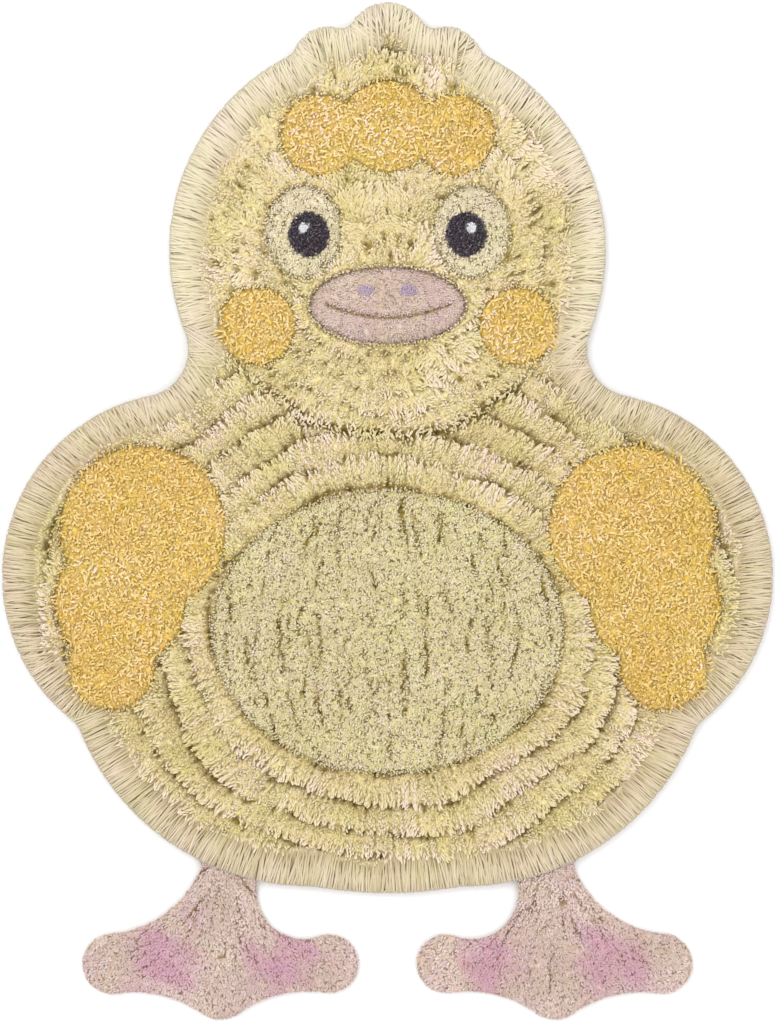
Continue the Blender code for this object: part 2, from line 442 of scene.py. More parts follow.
def ground(p, detail=False):
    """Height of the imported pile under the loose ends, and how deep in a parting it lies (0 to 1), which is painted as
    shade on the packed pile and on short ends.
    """
    z = zones(p)
    whole, long = whole_rug.depth(p), long_rug.depth(p)
    c = comb(p)
    phase, strength, parting = c["phase"], c["strength"], c["parting"]
    row = np.interp(phase, [0, 0.05, 0.22, 0.62, 0.88, 1.0], [-1.0, -0.85, 0.05, 0.75, 0.60, -1.0])
    crest = step(phase, 0.35, 0.75) * (1 - step(phase, 0.94, 1.0))
    high = np.full(len(p), 0.0175)
    deep = np.zeros(len(p))
    shag = z["shag"]
    on_head = c["on_head"]
    high[shag] = (0.0182 + 0.0009 * on_head + 0.0040 * row * strength - 0.0020 * parting ** 4 * (1 - 0.6 * crest)
                  - 0.0050 * c["hole"])[shag]
    deep[shag] = np.maximum(np.clip(-row, 0, 1) * strength * 0.75 + 0.45 * parting ** 5 * (1 - 0.7 * crest),
                            c["hole"] * np.where(on_head, 1.0, 1.3))[shag]
    under_chin = chin(p) * shag
    high = high - 0.0048 * under_chin
    deep = np.maximum(deep, under_chin)
    border = z["border"]
    high[border] = (0.0105 + 0.0098 * np.clip(long / BORDER, 0, 1) ** 0.8 - 0.0006 * parting ** 4)[border]
    high[border] = np.minimum(high, 0.0042 + 0.0063 * step(long, 0.0012, 0.0060) + 0.0098 * np.clip(long / BORDER, 0, 1) ** 0.8)[border]
    deep[border] = (0.20 * parting ** 6)[border]
    trench = np.exp(-((from_rim(p) - BORDER) / 0.0030) ** 2) * (shag | border | z["gold"]) * np.clip(0.30 + 0.55 * row_sway(p), 0.0, 0.8)
    belly = z["belly"]
    _, sink = belly_partings(p)
    high[belly] = (0.0172 - sink)[belly]
    deep[belly] = (sink / 0.0036)[belly]
    gold = z["gold"]
    high[gold] = 0.0166
    for name, top in (("cream", 0.0160), ("eye", 0.0158), ("glint", 0.0160), ("bill", 0.0142), ("nostril", 0.0140)):
        high[z[name]] = top
    _, sink = bill_lines(p)
    high[z["bill"]] -= sink[z["bill"]]
    deep[z["bill"]] = np.clip(sink / 0.004, 0, 1)[z["bill"]]
    feet = z["feet"]
    _, sink = foot_creases(p)
    high[feet] = (0.0060 + 0.0064 * step(whole, 0.0, 0.007) - sink * 0.8)[feet]
    deep[feet] = np.clip(sink / 0.0034, 0, 1)[feet]
    patch = short_pile(p)
    edge = np.exp(-(patch / 0.0026) ** 2) * ((patch > -0.006) & ~feet)
    trench = np.maximum(trench, 0.85 * edge * (long > 0.004))
    high = high - 0.0030 * trench
    # painted shade: trenches along patch edges and the border also darken the pile through deep
    deep = np.clip(np.maximum(deep, 0.8 * trench), 0, 1)
    if not detail:
        return high, deep
    # across and along the lie of the pile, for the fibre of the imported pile
    combed = shag | border
    across = np.where(combed, c["run"], p[:, 0])
    along = np.where(combed, c["lie"], p[:, 1])
    r, a, side = foot_frame(p)
    across = np.where(feet, a * 0.10 + side, np.where(z["bill"], p[:, 1], across))
    along = np.where(feet, r, np.where(z["bill"], p[:, 0], along))
    return high, deep, np.stack([across, along, np.where(combed, c["row"] * 0.1, 0.0)], 1)


# ---------------------------------------------------------------- materials

def node(nt, kind, **inputs):
    made = nt.nodes.new(kind)
    for key, value in inputs.items():
        made.inputs[key].default_value = value
    return made


def maths(nt, operation, a, b=None, clamp=False):
    made = nt.nodes.new("ShaderNodeMath")
    made.operation = operation
    made.use_clamp = clamp
    for k, value in enumerate((a, b)):
        if value is None:
            continue
        if isinstance(value, (int, float)):
            made.inputs[k].default_value = value
        else:
            nt.links.new(value, made.inputs[k])
    return made.outputs[0]


def mapped(nt, value, a, b, c, d):
    made = nt.nodes.new("ShaderNodeMapRange")
    nt.links.new(value, made.inputs["Value"])
    for key, number in (("From Min", a), ("From Max", b), ("To Min", c), ("To Max", d)):
        made.inputs[key].default_value = number
    return made.outputs["Result"]


def mixed(nt, factor, a, b, blend="MIX"):
    made = nt.nodes.new("ShaderNodeMix")
    made.data_type = "RGBA"
    made.blend_type = blend
    for key, value in (("Factor", factor), ("A", a), ("B", b)):
        if isinstance(value, (int, float)):
            made.inputs[key].default_value = value
        elif isinstance(value, tuple):
            made.inputs[key].default_value = (*value, 1.0)
        else:
            nt.links.new(value, made.inputs[key])
    return made.outputs["Result"]


def attribute(nt, name, output="Fac"):
    made = nt.nodes.new("ShaderNodeAttribute")
    made.attribute_name = name
    return made.outputs[output]


def cotton(name, sheen, rough, tint):
    mat = bpy.data.materials.new(name)
    mat.use_nodes = True
    shader = mat.node_tree.nodes["Principled BSDF"]
    shader.inputs["Roughness"].default_value = rough
    shader.inputs["Specular IOR Level"].default_value = 0.20
    shader.inputs["Sheen Weight"].default_value = sheen
    shader.inputs["Sheen Roughness"].default_value = 0.6
    shader.inputs["Sheen Tint"].default_value = (*tint, 1.0)
    return mat, mat.node_tree, shader


def lin(r, g, b):
    """An sRGB colour, 0 to 255, as linear numbers."""
    def one(c):
        c = c / 255.0
        return c / 12.92 if c <= 0.04045 else ((c + 0.055) / 1.055) ** 2.4
    return one(r), one(g), one(b)


def drift(nt, place):
    """A slow change between a warmer and a greener batch of cotton."""
    slow = node(nt, "ShaderNodeTexNoise", Scale=24.0, Detail=4.0, Roughness=0.62)
    nt.links.new(place, slow.inputs["Vector"])
    return mixed(nt, mapped(nt, slow.outputs["Fac"], 0.34, 0.66, 0.0, 1.0), (1.0, 0.960, 0.985), (0.975, 0.985, 0.875))


def yarn_material(name, stops, root_shade, patchy=0.14, sheen=0.35, rough=0.9, blush=None, fibre=0.35, painted_rim_shade=None):
    """Cotton yarn: tone picks the dye batch of each end, and in the shag and short pile it also carries painted shade
    in partings and painted light on crests; rise darkens its root with painted shade; a fine noise is its fibre.
    """
    mat, nt, shader = cotton(name, sheen, rough, stops[-1][1])
    place = nt.nodes.new("ShaderNodeTexCoord").outputs["Object"]
    cloud = node(nt, "ShaderNodeTexNoise", Scale=14.0, Detail=3.0, Roughness=0.55)
    nt.links.new(place, cloud.inputs["Vector"])
    batch = maths(nt, "ADD", attribute(nt, "tone"), mapped(nt, cloud.outputs["Fac"], 0.3, 0.7, -patchy, patchy), True)
    ramp = nt.nodes.new("ShaderNodeValToRGB")
    while len(ramp.color_ramp.elements) < len(stops):
        ramp.color_ramp.elements.new(0.5)
    for element, (at, colour) in zip(ramp.color_ramp.elements, stops):
        element.position = at
        element.color = (*colour, 1.0)
    nt.links.new(batch, ramp.inputs["Fac"])
    colour = ramp.outputs["Color"]
    if blush is not None:
        colour = mixed(nt, attribute(nt, "blush"), colour, blush)
    colour = mixed(nt, 1.0, colour, drift(nt, place), "MULTIPLY")
    # painted shade: each end darkens towards its root, down in the pile
    low = mapped(nt, attribute(nt, "rise"), 0.0, 0.75, 1.0, 0.0)
    colour = mixed(nt, low, colour, root_shade, "MULTIPLY")
    # painted shade: the tips of the ends along the trimmed rim are darkened to grey
    if painted_rim_shade is not None:
        colour = mixed(nt, mapped(nt, attribute(nt, "rise"), 0.94, 1.0, 0.0, 0.6), colour, painted_rim_shade)
    hair = node(nt, "ShaderNodeTexNoise", Scale=1100.0, Detail=3.0, Roughness=0.65)
    nt.links.new(place, hair.inputs["Vector"])
    colour = mixed(nt, 0.40, colour, hair.outputs["Color"], "SOFT_LIGHT")
    nt.links.new(colour, shader.inputs["Base Color"])
    bump = nt.nodes.new("ShaderNodeBump")
    bump.inputs["Strength"].default_value = fibre
    bump.inputs["Distance"].default_value = 0.0004
    nt.links.new(hair.outputs["Fac"], bump.inputs["Height"])
    nt.links.new(bump.outputs["Normal"], shader.inputs["Normal"])
    return mat


def packed_material(name):
    """Packed pile seen between the loose ends: dye per zone, partings darkened with painted shade, ends as small uneven
    cells with painted shade in the gaps between them.
    """
    mat, nt, shader = cotton(name, 0.25, 0.95, lin(236, 224, 190))
    place = nt.nodes.new("ShaderNodeTexCoord").outputs["Object"]
    lie = attribute(nt, "lie", "Vector")

    def scaled(x, y, z):
        made = nt.nodes.new("ShaderNodeVectorMath")
        made.operation = "MULTIPLY"
        nt.links.new(lie, made.inputs[0])
        made.inputs[1].default_value = (x, y, z)
        return made.outputs[0]

    bend = node(nt, "ShaderNodeTexNoise", Scale=140.0, Detail=2.0, Roughness=0.5)
    nt.links.new(place, bend.inputs["Vector"])
    moved = nt.nodes.new("ShaderNodeVectorMath")
    moved.operation = "MULTIPLY_ADD"
    nt.links.new(bend.outputs["Color"], moved.inputs[0])
    moved.inputs[1].default_value = (1.6, 1.6, 0.0)
    nt.links.new(scaled(310.0, 180.0, 10.0), moved.inputs[2])
    ends = node(nt, "ShaderNodeTexVoronoi", Scale=1.0, Randomness=1.0)
    ends.feature = "DISTANCE_TO_EDGE"
    nt.links.new(moved.outputs[0], ends.inputs["Vector"])
    each = node(nt, "ShaderNodeTexVoronoi", Scale=1.0, Randomness=1.0)
    nt.links.new(moved.outputs[0], each.inputs["Vector"])
    patchy = node(nt, "ShaderNodeTexNoise", Scale=170.0, Detail=3.0, Roughness=0.6)
    nt.links.new(place, patchy.inputs["Vector"])
    hair = node(nt, "ShaderNodeTexNoise", Scale=1.0, Detail=3.0, Roughness=0.7)
    nt.links.new(scaled(900.0, 170.0, 10.0), hair.inputs["Vector"])
    colour = mixed(nt, 1.0, attribute(nt, "dye", "Color"), drift(nt, place), "MULTIPLY")
    split = nt.nodes.new("ShaderNodeSeparateColor")
    nt.links.new(each.outputs["Color"], split.inputs[0])
    value = nt.nodes.new("ShaderNodeHueSaturation")
    nt.links.new(colour, value.inputs["Color"])
    nt.links.new(mapped(nt, split.outputs[0], 0.0, 1.0, 0.84, 1.12), value.inputs["Value"])
    nt.links.new(mapped(nt, split.outputs[1], 0.0, 1.0, 0.85, 1.15), value.inputs["Saturation"])
    colour = value.outputs["Color"]
    # painted shade: dark gaps between the cells of ends, broken up by noise and weighted per zone
    gap = mapped(nt, ends.outputs["Distance"], 0.05, 0.24, 1.0, 0.0)
    broken = mapped(nt, patchy.outputs["Fac"], 0.44, 0.56, 0.0, 1.0)
    broken = maths(nt, "MULTIPLY", broken, attribute(nt, "gap_shade"))
    colour = mixed(nt, maths(nt, "MULTIPLY", gap, broken, True), colour, (0.16, 0.12, 0.04), "MULTIPLY")
    # painted shade: partings, trenches, pockets, the line under the head, the walls and the nostril darken by deep
    colour = mixed(nt, attribute(nt, "deep"), colour, (0.34, 0.27, 0.10), "MULTIPLY")
    streak = mapped(nt, hair.outputs["Fac"], 0.25, 0.75, 0.0, 1.0)
    shade = nt.nodes.new("ShaderNodeCombineColor")
    for k in range(3):
        nt.links.new(streak, shade.inputs[k])
    colour = mixed(nt, 0.55, colour, shade.outputs[0], "SOFT_LIGHT")
    nt.links.new(colour, shader.inputs["Base Color"])
    bump = nt.nodes.new("ShaderNodeBump")
    bump.inputs["Strength"].default_value = 0.6
    bump.inputs["Distance"].default_value = 0.0010
    raised = maths(nt, "ADD", maths(nt, "MULTIPLY", ends.outputs["Distance"], 1.0), maths(nt, "MULTIPLY", hair.outputs["Fac"], 0.8))
    nt.links.new(raised, bump.inputs["Height"])
    nt.links.new(bump.outputs["Normal"], shader.inputs["Normal"])
    return mat


def woven_material(name, thread, gap, pitch, rough=0.92):
    """Plain weave canvas: two sets of threads that pass over and under each other."""
    mat, nt, shader = cotton(name, 0.25, rough, thread)
    place = nt.nodes.new("ShaderNodeTexCoord").outputs["Object"]
    heights = []
    for axis in ("X", "Y"):
        wave = nt.nodes.new("ShaderNodeTexWave")
        wave.wave_type = "BANDS"
        wave.bands_direction = axis
        wave.wave_profile = "SIN"
        wave.inputs["Scale"].default_value = 0.314 / pitch
        wave.inputs["Distortion"].default_value = 0.6
        wave.inputs["Detail"].default_value = 1.0
        wave.inputs["Detail Scale"].default_value = 2.0
        nt.links.new(place, wave.inputs["Vector"])
        heights.append(wave.outputs["Fac"])
    weave = maths(nt, "MULTIPLY", heights[0], heights[1])
    slub = node(nt, "ShaderNodeTexNoise", Scale=60.0, Detail=4.0, Roughness=0.6)
    nt.links.new(place, slub.inputs["Vector"])
    colour = mixed(nt, weave, gap, thread)
    colour = mixed(nt, 0.5, colour, slub.outputs["Color"], "SOFT_LIGHT")
    nt.links.new(colour, shader.inputs["Base Color"])
    bump = nt.nodes.new("ShaderNodeBump")
    bump.inputs["Strength"].default_value = 0.6
    bump.inputs["Distance"].default_value = 0.0006
    nt.links.new(weave, bump.inputs["Height"])
    nt.links.new(bump.outputs["Normal"], shader.inputs["Normal"])
    return mat


STRAW_STOPS = [(0.0, lin(213, 199, 139)), (0.40, lin(222, 209, 163)), (0.75, lin(228, 213, 185)), (1.0, lin(232, 215, 198))]
BORDER_STOPS = [(0.0, lin(198, 182, 149)), (0.45, lin(210, 196, 168)), (0.8, lin(215, 201, 176)), (1.0, lin(220, 207, 187))]
BORDER_PALE = lin(226, 217, 195)
BELLY_STOPS = [(0.0, lin(210, 199, 154)), (0.45, lin(229, 219, 188)), (0.8, lin(238, 229, 206)), (1.0, lin(244, 236, 221))]
GOLD_STOPS = [(0.0, lin(220, 187, 103)), (0.35, lin(229, 201, 127)), (0.7, lin(233, 208, 145)), (0.9, lin(236, 215, 170)), (1.0, lin(237, 218, 199))]
CREAM_STOPS = [(0.0, lin(218, 208, 180)), (0.5, lin(238, 229, 206)), (1.0, lin(247, 240, 226))]
PINK_STOPS = [(0.0, lin(203, 182, 177)), (0.5, lin(221, 202, 199)), (1.0, lin(237, 222, 220))]
LILAC_STOPS = [(0.0, lin(184, 162, 206)), (1.0, lin(214, 198, 232))]
DARK_STOPS = [(0.0, lin(66, 60, 68)), (0.6, lin(96, 88, 96)), (1.0, lin(138, 130, 138))]
WHITE_STOPS = [(0.0, lin(236, 238, 246)), (1.0, lin(251, 252, 255))]

straw = yarn_material("straw_yarn", STRAW_STOPS, (0.80, 0.74, 0.54))
# painted shade: a grey on the border ends' tips along the rim
border_yarn = yarn_material("border_yarn", BORDER_STOPS, (0.76, 0.71, 0.56), blush=BORDER_PALE, painted_rim_shade=lin(160, 156, 154))
belly_yarn = yarn_material("belly_yarn", BELLY_STOPS, (0.70, 0.67, 0.48))
gold_yarn = yarn_material("golden_yarn", GOLD_STOPS, (0.80, 0.68, 0.46), patchy=0.26, blush=lin(220, 206, 110))
cream_yarn = yarn_material("cream_yarn", CREAM_STOPS, (0.70, 0.65, 0.50))
pink_yarn = yarn_material("pink_yarn", PINK_STOPS, (0.70, 0.61, 0.56), patchy=0.26, blush=lin(211, 166, 190))
lilac_yarn = yarn_material("lilac_yarn", LILAC_STOPS, (0.7, 0.65, 0.72))
dark_yarn = yarn_material("charcoal_yarn", DARK_STOPS, (0.6, 0.6, 0.6), sheen=0.2)
white_yarn = yarn_material("white_yarn", WHITE_STOPS, (0.8, 0.8, 0.82))
packed = packed_material("packed_pile")

DYES = {
    "shag": lin(229, 213, 162), "border": lin(220, 206, 175), "belly": lin(222, 212, 166),
    "gold": lin(230, 199, 116), "cream": lin(228, 218, 188), "eye": lin(56, 50, 58), "glint": lin(236, 238, 244),
    "bill": lin(210, 188, 175), "nostril": lin(160, 140, 182), "feet": lin(206, 182, 170),
}
# how strongly painted shade darkens the short gaps between the ends
GAP_SHADE = {
    "shag": 0.65, "border": 0.20, "belly": 0.9, "gold": 0.50, "cream": 0.9, "eye": 0.4, "glint": 0.0,
    "bill": 0.6, "nostril": 0.2, "feet": 0.7,
}
TOE_PINK = lin(202, 158, 176)


def paleness(p):
    """How pale the border is: most of all round the head."""
    return 0.75 * step(p[:, 1] + 0.04 * ragged_long(p), 0.06, 0.26)


# columns: |x|, y, radius of the pink blushes in each web
BLUSHES = [(0.262, 0.072, 0.050), (0.122, 0.070, 0.044)]


def toe_blush(p):
    x, y = pattern(p)
    near = [1 - step(np.hypot(x - cx, y - cy) + 0.012 * waves(113, 0.045)(p), 0.15 * r, 1.25 * r) for cx, cy, r in BLUSHES]
    return 0.85 * np.max(near, axis=0)


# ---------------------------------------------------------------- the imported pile

def add_values(mesh, label, values):
    layer = mesh.attributes.new(label, "FLOAT", "POINT")
    layer.data.foreach_set("value", np.ascontiguousarray(values, dtype=np.float32))


def shown(name, mesh, material):
    mesh.materials.append(material)
    piece = bpy.data.objects.new(name, mesh)
    bpy.context.scene.collection.objects.link(piece)
    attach(piece, "root")
    return piece


def packed_pile(name, pitch=0.0036, inset=0.0016):
    xs = np.arange(-0.4536, 0.4537, pitch)
    ys = np.arange(-0.5976, 0.5977, pitch)
    gx, gy = np.meshgrid(xs, ys)
    p = np.stack([gx.ravel(), gy.ravel()], 1)
    depth = whole_rug.depth(p)
    used = depth > inset - pitch * 0.5
    near = used & (depth < inset + pitch * 0.5)
    p[near] += whole_rug.outwards(p[near]) * (depth[near] - inset)[:, None]
    index = -np.ones(len(p), int)
    index[used] = np.arange(used.sum())
    q = p[used]
    high, deep = ground(q)
    rows, cols = gx.shape
    k = np.arange(rows * cols).reshape(rows, cols)
    a, b, c, d = k[:-1, :-1].ravel(), k[:-1, 1:].ravel(), k[1:, 1:].ravel(), k[1:, :-1].ravel()
    corner = np.stack([a, b, c, d], 1)
    there = used[corner]
    faces = [tuple(index[f]) for f in corner[there.all(1)]]
    for f, t in zip(corner[there.sum(1) == 3], there[there.sum(1) == 3]):
        faces.append(tuple(index[f[t]]))

    work = bmesh.new()
    verts = [work.verts.new((x, y, z)) for (x, y), z in zip(q, high)]
    for f in faces:
        work.faces.new([verts[i] for i in f])
    loose = [v for v in work.verts if not v.link_faces]
    work.verts.index_update()
    top_of = {v: i for i, v in enumerate(verts)}
    rim = [e for e in work.edges if e.is_boundary]
    low_of = {}
    for e in rim:
        for v in e.verts:
            if v not in low_of:
                low_of[v] = work.verts.new((v.co.x, v.co.y, BED))
    walls = []
    for e in rim:
        loop = e.link_loops[0]
        v0, v1 = loop.vert, loop.link_loop_next.vert
        walls.append(work.faces.new((v1, v0, low_of[v0], low_of[v1])))
    # the flat underside, filled inside the rim
    after = {}
    for f in walls:
        v1, v0, l0, l1 = f.verts
        after[l0] = l1
    bottoms, seen = [], set()
    for first in after:
        if first in seen:
            continue
        loop, v = [], first
        while v not in seen and v in after:
            seen.add(v)
            loop.append(v)
            v = after[v]
        pts = [v.co.copy() for v in loop]
        for tri in tessellate_polygon([pts]):
            try:
                bottoms.append(work.faces.new([loop[i] for i in tri]))
            except ValueError:
                pass
    for v in loose:
        work.verts.remove(v)
    bmesh.ops.recalc_face_normals(work, faces=work.faces)
    uv = work.loops.layers.uv.new("OFBake")
    low_set = set(low_of.values())
    under = set(bottoms)
    for f in work.faces:
        for loop in f.loops:
            x, y = loop.vert.co.x, loop.vert.co.y
            if f in under:
                loop[uv].uv = (0.80 + 0.19 * (x + 0.46) / 0.92, 0.01 + 0.24 * (y + 0.60) / 1.20)
                continue
            if loop.vert in low_set:
                n = whole_rug.outwards(np.array([[x, y]]))[0]
                x, y = x + n[0] * 0.004, y + n[1] * 0.004
            loop[uv].uv = (0.005 + 0.775 * (x + 0.46) / 0.92, 0.005 + 0.99 * (y + 0.60) / 1.20)
    for f in work.faces:
        f.smooth = f not in under
    mesh = bpy.data.meshes.new(name)
    work.to_mesh(mesh)
    work.free()

    flat = np.zeros(len(mesh.vertices) * 3, dtype=np.float32)
    mesh.vertices.foreach_get("co", flat)
    co = flat.reshape(-1, 3)[:, :2].astype(float)
    _, deep, lie = ground(co, True)
    wall = flat.reshape(-1, 3)[:, 2] < BED + 0.0001
    # painted shade: the side walls are darkened
    deep = np.where(wall, 0.75, deep)
    z = zones(co)
    dye = np.tile(np.array(DYES["border"]), (len(co), 1))
    gap_shade = np.zeros(len(co))
    for label in ("shag", "border", "gold", "belly", "feet", "cream", "eye", "glint", "bill", "nostril"):
        dye[z[label]] = DYES[label]
        gap_shade[z[label]] = GAP_SHADE[label]
    dye[z["nostril"]] = DYES["bill"]
    # painted shade: the packed pile under the nostril is darkened
    deep = np.maximum(deep, 0.45 * z["nostril"])
    pale = (z["border"] * paleness(co))[:, None]
    dye = dye * (1 - pale) + np.array(BORDER_PALE) * pale
    toes = (z["feet"] * toe_blush(co))[:, None]
    dye = dye * (1 - toes) + np.array(TOE_PINK) * toes
    add_values(mesh, "deep", deep)
    add_values(mesh, "gap_shade", gap_shade)
    layer = mesh.attributes.new("lie", "FLOAT_VECTOR", "POINT")
    layer.data.foreach_set("vector", np.ascontiguousarray(lie, dtype=np.float32).ravel())
    layer = mesh.attributes.new("dye", "FLOAT_COLOR", "POINT")
    layer.data.foreach_set("color", np.concatenate([dye, np.ones((len(dye), 1))], 1).astype(np.float32).ravel())
    print(name, "faces", len(mesh.polygons), "open edges", sum(1 for n in edge_use(mesh) if n != 2))
    return shown(name, mesh, packed)


def edge_use(mesh):
    count = np.zeros(len(mesh.edges), int)
    loops = np.zeros(len(mesh.loops), dtype=np.int32)
    mesh.loops.foreach_get("edge_index", loops)
    np.add.at(count, loops, 1)
    return count


# ---------------------------------------------------------------- yarn ends as closed tapered tubes

def yarn_piece(name, paths, radius, tone, material, profile, blush=None, sides=3, wide=1.0, thick=1.0,
               round_=1.0, dome=1.6):
    """One joined mesh of closed yarn ends.

    paths: (ends, rings, 3) points from root to tip; radius: (ends,); tone, blush: (ends,) 0 to 1.
    round_: how round a lying end is shaded, 0 flat to 1; dome: how far the shading turns up over a tip.
    """
    n, rings, _ = paths.shape
    along = np.linspace(0, 1, rings)
    profile = np.asarray(profile)
    tangent = np.gradient(paths, axis=1)
    tangent /= np.linalg.norm(tangent, axis=2, keepdims=True) + 1e-12
    # the side of each end that faces up is the flat one
    lean = paths[:, -1, :2] - paths[:, 0, :2]
    spin = rng.uniform(0, 2 * math.pi, n)
    heading = np.where(np.linalg.norm(lean, axis=1, keepdims=True) > 0.0004, unit(lean), np.stack([np.cos(spin), np.sin(spin)], 1))
    across_lean = np.stack([heading[:, 1], -heading[:, 0], np.zeros(n)], 1)[:, None, :]
    u = across_lean - tangent * (across_lean * tangent).sum(2, keepdims=True)
    u /= np.linalg.norm(u, axis=2, keepdims=True) + 1e-12
    w = np.cross(u, tangent)
    ang = (math.pi * 5 / 6 - np.arange(sides) * 2 * math.pi / sides)[None, :] + rng.normal(0, 0.22, n)[:, None]
    ring = (u[:, :, None, :] * (wide * np.cos(ang))[:, None, :, None]
            + w[:, :, None, :] * (thick * np.sin(ang))[:, None, :, None])
    size = (radius[:, None] * profile[None, :])[:, :, None, None]
    verts = (paths[:, :, None, :] + ring * size).reshape(-1, 3)
    verts[:, 2] = np.maximum(verts[:, 2], 0.0004)
    lifted = np.sin(ang) + 0.40 * (1 - round_) * (np.sin(ang) > 0)
    over = np.zeros(rings)
    over[-1] = dome
    facing = (u[:, :, None, :] * (round_ * np.cos(ang))[:, None, :, None] + w[:, :, None, :] * lifted[:, None, :, None]
              + tangent[:, :, None, :] * over[None, :, None, None])
    facing = unit(facing.reshape(-1, 3))

    base = (np.arange(n) * rings * sides)[:, None]
    k, s = np.meshgrid(np.arange(rings - 1), np.arange(sides), indexing="ij")
    nxt = (s + 1) % sides
    quad = np.stack([k * sides + s, k * sides + nxt, (k + 1) * sides + nxt, (k + 1) * sides + s], -1).reshape(-1, 4)
    quads = (base[:, :, None] + quad[None]).reshape(-1, 4)
    root = np.arange(sides)[::-1]
    tip = (rings - 1) * sides + np.arange(sides)
    caps = np.concatenate([base + root[None], base + tip[None]], 0)

    loops = np.concatenate([quads.ravel(), caps.ravel()]).astype(np.int32)
    starts = np.concatenate([np.arange(len(quads)) * 4, len(quads) * 4 + np.arange(len(caps)) * sides]).astype(np.int32)
    mesh = bpy.data.meshes.new(name)
    mesh.vertices.add(len(verts))
    mesh.vertices.foreach_set("co", verts.astype(np.float32).ravel())
    mesh.loops.add(len(loops))
    mesh.loops.foreach_set("vertex_index", loops)
    mesh.polygons.add(len(starts))
    mesh.polygons.foreach_set("loop_start", starts)
    mesh.update(calc_edges=True)
    add_values(mesh, "tone", np.repeat(tone, rings * sides))
    add_values(mesh, "rise", np.broadcast_to(along[None, :, None], (n, rings, sides)).reshape(-1))
    if blush is not None:
        add_values(mesh, "blush", np.repeat(blush, rings * sides))

    # one small cell of the map to each yarn end, its height up the cell
    across = math.ceil(math.sqrt(n))
    owner = loops // (rings * sides)
    local = loops % (rings * sides)
    side_of, ring_of = local % sides, local // sides
    cell = 1.0 / across
    uv = np.stack([
        (owner % across + 0.18 + 0.64 * side_of / max(1, sides - 1)) * cell,
        (owner // across + 0.12 + 0.76 * ring_of / (rings - 1)) * cell,
    ], 1)
    layer = mesh.uv_layers.new(name="OFBake")
    layer.data.foreach_set("uv", uv.astype(np.float32).ravel())
    mesh.shade_smooth()
    mesh.normals_split_custom_set_from_vertices(facing.astype(np.float32))
    return shown(name, mesh, material)


def bent(root, tip, knee, rings, bow=None):
    """Paths from root to tip over a knee: root goes up to the knee, then over to the tip."""
    t = np.linspace(0, 1, rings)[None, :, None]
    path = (1 - t) ** 2 * root[:, None] + 2 * t * (1 - t) * knee[:, None] + t ** 2 * tip[:, None]
    if bow is not None:
        path = path + (np.sin(math.pi * t) * t) * bow[:, None]
    return path


def with_z(p, z):
    return np.concatenate([p, np.broadcast_to(z, (len(p),))[:, None]], 1)


pieces = [packed_pile("packed_pile")]


# ---------------------------------------------------------------- combed border

def make_border():
    own = np.random.default_rng(13)
    root = keep(lattice(0.0038, 0.45, 11), "border_roots")
    n = len(root)
    deep = long_rug.depth(root)
    c = comb(root)
    bundle = c["index"]
    swing = 0.16 * (dice(bundle, 99, 1) - 0.5) + own.normal(0, 0.065, n)
    way = turned(c["way"], swing)
    # each end runs out to the trimmed edge
    tip = root + way * deep[:, None]
    for _ in range(2):
        tip = tip + long_rug.outwards(tip) * (long_rug.depth(tip) - own.uniform(0.0000, 0.0007, n))[:, None]
    tip = tip - c["side"] * (c["off"] * 0.16)[:, None]
    share = np.clip(deep / BORDER, 0, 1)
    under, _ = ground(root)
    top = 0.0110 + 0.0112 * share ** 0.75 + own.normal(0, 0.0004, n)
    end = np.clip(0.0042 + 0.0140 * share ** 0.8 + own.normal(0, 0.0011, n), 0.0020, 0.0215)
    knee = with_z(root * 0.60 + tip * 0.40, top * 1.14 + 0.0008)
    bow = np.concatenate([c["side"] * own.normal(0, 0.0018, (n, 1)), own.normal(0, 0.0004, (n, 1))], 1)
    paths = bent(with_z(root, under - 0.0005), with_z(tip, end), knee, 3, bow)
    tone = np.clip(0.5 + 0.19 * own.normal(size=n) + 0.16 * (dice(bundle, 99, 2) - 0.5), 0, 1)
    return paths, own.normal(0.00098, 0.00011, n) * (1 + 0.20 * paleness(root)), tone


paths, radius, tone = make_border()
pale = paleness(paths[:, 0, :2])
upper = paths[:, 0, 1] > 0.10
for name, part in (("border_head", upper), ("border_body", ~upper)):
    pieces.append(yarn_piece(name, paths[part], radius[part], tone[part], border_yarn,
                             (0.85, 1.0, 0.75), pale[part], wide=1.22, thick=0.75, round_=0.50, dome=0.3))


# ---------------------------------------------------------------- long shag in rings

def toward_patch(p):
    """Level direction to the nearest patch of shorter pile."""
    h = 0.0008
    gx = short_pile(p + np.array([h, 0])) - short_pile(p - np.array([h, 0]))
    gy = short_pile(p + np.array([0, h])) - short_pile(p - np.array([0, h]))
    return unit(np.stack([gx, gy], 1))


